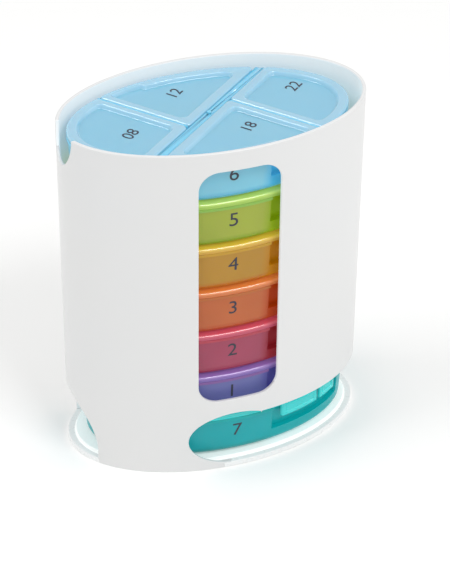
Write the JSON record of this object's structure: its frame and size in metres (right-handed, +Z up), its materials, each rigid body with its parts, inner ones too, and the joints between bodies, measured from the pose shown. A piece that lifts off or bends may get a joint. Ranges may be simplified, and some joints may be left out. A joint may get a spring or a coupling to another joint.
{
  "type": "weekly pill organizer",
  "caption": "Oval tower sleeve holding stacked oval trays, each with four lidded compartments; the lowest tray slides out at one end.",
  "frame": {"origin": "middle of the oval footprint, on the surface it stands on", "axes": "+X to the end where the lowest tray slides out, -Y to the label window, +Z up"},
  "size_m": [0.106, 0.0616, 0.1317],
  "materials": {
    "white_shell": "smooth gloss",
    "white_base": "polished",
    "dark_print": "printed ink",
    "teal_tint": "tinted see-through, smooth",
    "violet_tint": "tinted see-through, smooth",
    "rose_tint": "tinted see-through, smooth",
    "orange_tint": "tinted see-through, smooth",
    "amber_tint": "tinted see-through, smooth",
    "green_tint": "tinted see-through, smooth",
    "sky_tint": "tinted see-through, smooth"
  },
  "bodies": {
    "tower": {"housing": "white_shell", "base_plate": "white_base"},
    "saturday": {"saturday_tray": "teal_tint", "saturday_hinge_bar": "teal_tint", "saturday_morning_lid": "teal_tint", "saturday_noon_lid": "teal_tint", "saturday_evening_lid": "teal_tint", "saturday_bedtime_lid": "teal_tint"},
    "sunday": {"sunday_tray": "violet_tint", "sunday_hinge_bar": "violet_tint", "sunday_morning_lid": "violet_tint", "sunday_noon_lid": "violet_tint", "sunday_evening_lid": "violet_tint", "sunday_bedtime_lid": "violet_tint"},
    "monday": {"monday_tray": "rose_tint", "monday_hinge_bar": "rose_tint", "monday_morning_lid": "rose_tint", "monday_noon_lid": "rose_tint", "monday_evening_lid": "rose_tint", "monday_bedtime_lid": "rose_tint"},
    "tuesday": {"tuesday_tray": "orange_tint", "tuesday_hinge_bar": "orange_tint", "tuesday_morning_lid": "orange_tint", "tuesday_noon_lid": "orange_tint", "tuesday_evening_lid": "orange_tint", "tuesday_bedtime_lid": "orange_tint"},
    "wednesday": {"wednesday_tray": "amber_tint", "wednesday_hinge_bar": "amber_tint", "wednesday_morning_lid": "amber_tint", "wednesday_noon_lid": "amber_tint", "wednesday_evening_lid": "amber_tint", "wednesday_bedtime_lid": "amber_tint"},
    "thursday": {"thursday_tray": "green_tint", "thursday_hinge_bar": "green_tint", "thursday_morning_lid": "green_tint", "thursday_noon_lid": "green_tint", "thursday_evening_lid": "green_tint", "thursday_bedtime_lid": "green_tint"},
    "friday": {"friday_tray": "sky_tint", "friday_hinge_bar": "sky_tint"},
    "friday_morning": {"friday_morning_lid": "sky_tint"},
    "friday_noon": {"friday_noon_lid": "sky_tint"},
    "friday_evening": {"friday_evening_lid": "sky_tint"},
    "friday_bedtime": {"friday_bedtime_lid": "sky_tint"}
  },
  "joints": [
    {"name": "saturday_slide", "type": "slide", "parent": "tower", "child": "saturday", "axis": [1, 0, 0], "range_m": [0, 0.105]},
    {"name": "sunday_lift", "type": "slide", "parent": "tower", "child": "sunday", "axis": [0, 0, 1], "range_m": [0, 0.1135]},
    {"name": "monday_lift", "type": "slide", "parent": "sunday", "child": "monday", "axis": [0, 0, 1], "range_m": [0, 0.0956]},
    {"name": "tuesday_lift", "type": "slide", "parent": "monday", "child": "tuesday", "axis": [0, 0, 1], "range_m": [0, 0.0777]},
    {"name": "wednesday_lift", "type": "slide", "parent": "tuesday", "child": "wednesday", "axis": [0, 0, 1], "range_m": [0, 0.0598]},
    {"name": "thursday_lift", "type": "slide", "parent": "wednesday", "child": "thursday", "axis": [0, 0, 1], "range_m": [0, 0.0419]},
    {"name": "friday_lift", "type": "slide", "parent": "thursday", "child": "friday", "axis": [0, 0, 1], "range_m": [0, 0.024]},
    {"name": "friday_morning_flip", "type": "hinge", "parent": "friday", "child": "friday_morning", "pos_m": [-0.0022, 0.00112, 0.1283], "axis": [0.7431, 0.6691, 0], "range_deg": [0, 88]},
    {"name": "friday_noon_flip", "type": "hinge", "parent": "friday", "child": "friday_noon", "pos_m": [-0.0022, 0.00112, 0.1283], "axis": [0.7431, 0.6691, 0], "range_deg": [0, 88]},
    {"name": "friday_evening_flip", "type": "hinge", "parent": "friday", "child": "friday_evening", "pos_m": [-0.0002, -0.00112, 0.1283], "axis": [-0.7431, -0.6691, 0], "range_deg": [0, 88]},
    {"name": "friday_bedtime_flip", "type": "hinge", "parent": "friday", "child": "friday_bedtime", "pos_m": [-0.0002, -0.00112, 0.1283], "axis": [-0.7431, -0.6691, 0], "range_deg": [0, 88]}
  ]
}
